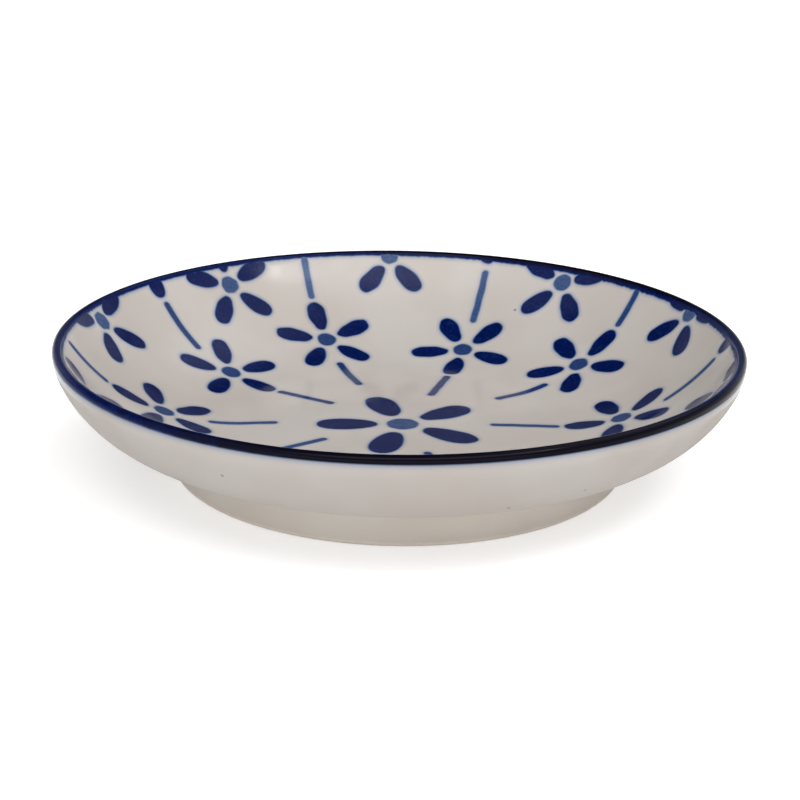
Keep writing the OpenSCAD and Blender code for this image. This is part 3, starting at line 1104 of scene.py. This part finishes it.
# Levels of the soft boxes, and where the light of each starts and is full, along x, y or z of a direction
SKY_FRONT = 3.35
SKY_FRONT_LOW = 4.8
SKY_RIGHT = 1.2
SKY_LEFT = 0.85
SKY_SIDE_LOW = 0.5
SKY_RIGHT_LOW = 0.8
SKY_LOW = 0.22
SKY_HORIZON = 1.0
SKY_BACK = 0.03
FRONT_EDGE = (0.0, -0.38)
FRONT_LEFT = (-0.55, -0.25)
FRONT_BOTTOM = (0.6, 0.76)
STRIP_EDGE = (-0.6, -0.9)
STRIP_HIGH = (0.2, 0.08)
RIGHT_EDGE = (0.02, 0.4)
RIGHT_BOTTOM = (0.35, 0.75)
LEFT_EDGE = (-0.25, -0.5)
LEFT_BACK = (0.35, 0.05)
SIDE_EDGE = (0.25, 0.45)
SIDE_TOP = (0.5, 0.38)
RIGHT_LOW_EDGE = (0.3, 0.5)
RIGHT_LOW_TOP = (0.37, 0.27)
LOW_EDGE = (0.44, 0.36)
HORIZON_EDGE = (0.13, 0.08)

# Small lamps: direction, angles from it at which the light starts and is full, and level
GLOW_EDGE = (math.radians(7.5), math.radians(6))
LAMP_EDGE = (math.radians(1.9), math.radians(1.1))
LAMPS = (
    (Vector((0.503, -0.261, 0.824)).normalized(), GLOW_EDGE, 4.5),
    (Vector((0.56, -0.291, 0.776)).normalized(), LAMP_EDGE, 10.0),
    (Vector((0.546, -0.254, 0.798)).normalized(), LAMP_EDGE, 10.0),
    (Vector((0.531, -0.217, 0.819)).normalized(), LAMP_EDGE, 8.0),
)


def round_patch(tree, way, middle, edge):
    """One within a round patch of the sky, by the angles of its soft edge."""
    sockets = {0: way, 1: middle}
    near = put(tree, "ShaderNodeVectorMath", {"operation": "DOT_PRODUCT"}, sockets).outputs["Value"]
    return eased(tree, near, *(math.cos(a) for a in edge))


def soft_box(tree, level, *sides):
    """A level of light over a part of the sky, by the soft edges of its sides."""
    strength = level
    for value, edge in sides:
        strength = calc(tree, "MULTIPLY", eased(tree, value, *edge), strength)
    return strength


def studio():
    """Soft light from the front and both sides, with the dark of the room behind the dish."""
    world = bpy.data.worlds.new("studio")
    bpy.context.scene.world = world
    world.use_nodes = True
    tree = world.node_tree
    way = put(tree, "ShaderNodeTexCoord", {}, {}).outputs["Generated"]
    x, y, z = put(tree, "ShaderNodeSeparateXYZ", {}, {0: way}).outputs
    front = soft_box(tree, SKY_FRONT, (y, FRONT_EDGE), (x, FRONT_LEFT), (z, FRONT_BOTTOM))
    strip = soft_box(tree, SKY_FRONT_LOW, (y, STRIP_EDGE), (z, STRIP_HIGH))
    right = soft_box(tree, SKY_RIGHT, (x, RIGHT_EDGE), (z, RIGHT_BOTTOM))
    left = soft_box(tree, SKY_LEFT, (x, LEFT_EDGE), (y, LEFT_BACK))
    sides = soft_box(tree, SKY_SIDE_LOW, (calc(tree, "ABSOLUTE", x), SIDE_EDGE), (z, SIDE_TOP))
    right_low = soft_box(tree, SKY_RIGHT_LOW, (x, RIGHT_LOW_EDGE), (z, RIGHT_LOW_TOP))
    low = soft_box(tree, SKY_LOW, (z, LOW_EDGE))
    horizon = soft_box(tree, SKY_HORIZON, (z, HORIZON_EDGE))
    strength = SKY_BACK
    for box in (front, strip, right, left, sides, right_low, low, horizon):
        strength = calc(tree, "MAXIMUM", box, strength)
    for middle, edge, level in LAMPS:
        lamp = calc(tree, "MULTIPLY", round_patch(tree, way, middle, edge), level)
        strength = calc(tree, "ADD", strength, lamp)
    tree.links.new(strength, tree.nodes["Background"].inputs["Strength"])
    tree.nodes["Background"].inputs["Color"].default_value = WHITE


CAMERA_AT = Vector((0.176, -233.738, 89.345)) * MM
CAMERA_DOWN = math.radians(19.059)
CAMERA_ROLL = math.radians(0.932)
CAMERA_LENS = 79.107
CAMERA_SENSOR = 36.0
CAMERA_NEAR = 0.01


def camera():
    """The photograph's viewpoint."""
    data = bpy.data.cameras.new("camera")
    data.sensor_width = CAMERA_SENSOR
    data.lens = CAMERA_LENS
    data.clip_start = CAMERA_NEAR
    made = bpy.data.objects.new("camera", data)
    bpy.context.scene.collection.objects.link(made)
    tilt = Matrix.Rotation(math.pi / 2 - CAMERA_DOWN, 4, "X")
    made.matrix_world = Matrix.Translation(CAMERA_AT) @ tilt @ Matrix.Rotation(CAMERA_ROLL, 4, "Z")
    bpy.context.scene.camera = made


floor()
studio()
camera()
bpy.context.scene.view_settings.view_transform = "Standard"
